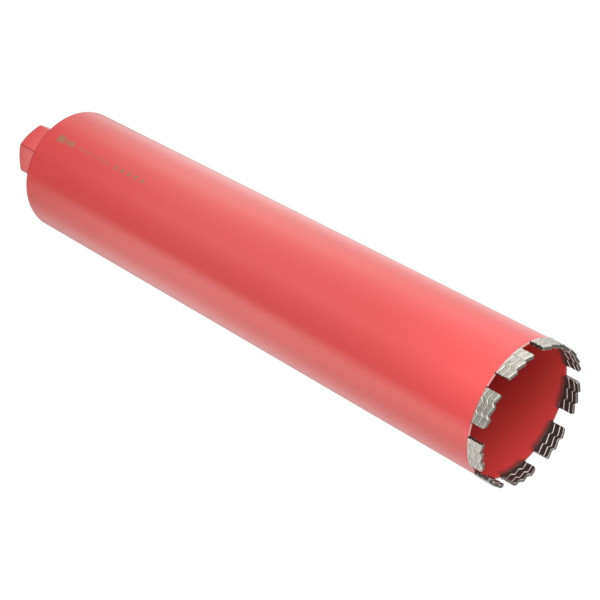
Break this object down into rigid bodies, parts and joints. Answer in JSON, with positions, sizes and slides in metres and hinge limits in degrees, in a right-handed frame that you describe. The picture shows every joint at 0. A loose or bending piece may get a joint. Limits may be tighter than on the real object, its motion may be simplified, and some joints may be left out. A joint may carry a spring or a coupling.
{
  "type": "diamond core bit",
  "caption": "Thin-walled steel core bit with brazed diamond cutting segments on the rim and a threaded hexagon hub, for drilling round holes in concrete.",
  "frame": {"origin": "centre of the hub's end face, at the mouth of the spindle thread, on which the bit stands", "axes": "+Z along the bit's axis from the hub to the cutting end; +X out of one flat of the hub's hexagon"},
  "size_m": [0.1014, 0.1014, 0.5221],
  "materials": {
    "red_paint": "semi-gloss red enamel",
    "segment_metal": "sintered, matt grey",
    "braze_metal": "heat-tinted braze"
  },
  "bodies": {
    "root": {"barrel_tube": "red_paint", "back_plate": "red_paint", "barrel_weld": "red_paint", "hub": "red_paint", "hub_weld": "red_paint", "segment_1": "segment_metal", "segment_2": "segment_metal", "segment_3": "segment_metal", "segment_4": "segment_metal", "segment_5": "segment_metal", "segment_6": "segment_metal", "segment_7": "segment_metal", "segment_8": "segment_metal", "segment_9": "segment_metal", "braze_1": "braze_metal", "braze_2": "braze_metal", "braze_3": "braze_metal", "braze_4": "braze_metal", "braze_5": "braze_metal", "braze_6": "braze_metal", "braze_7": "braze_metal", "braze_8": "braze_metal", "braze_9": "braze_metal"}
  },
  "joints": []
}
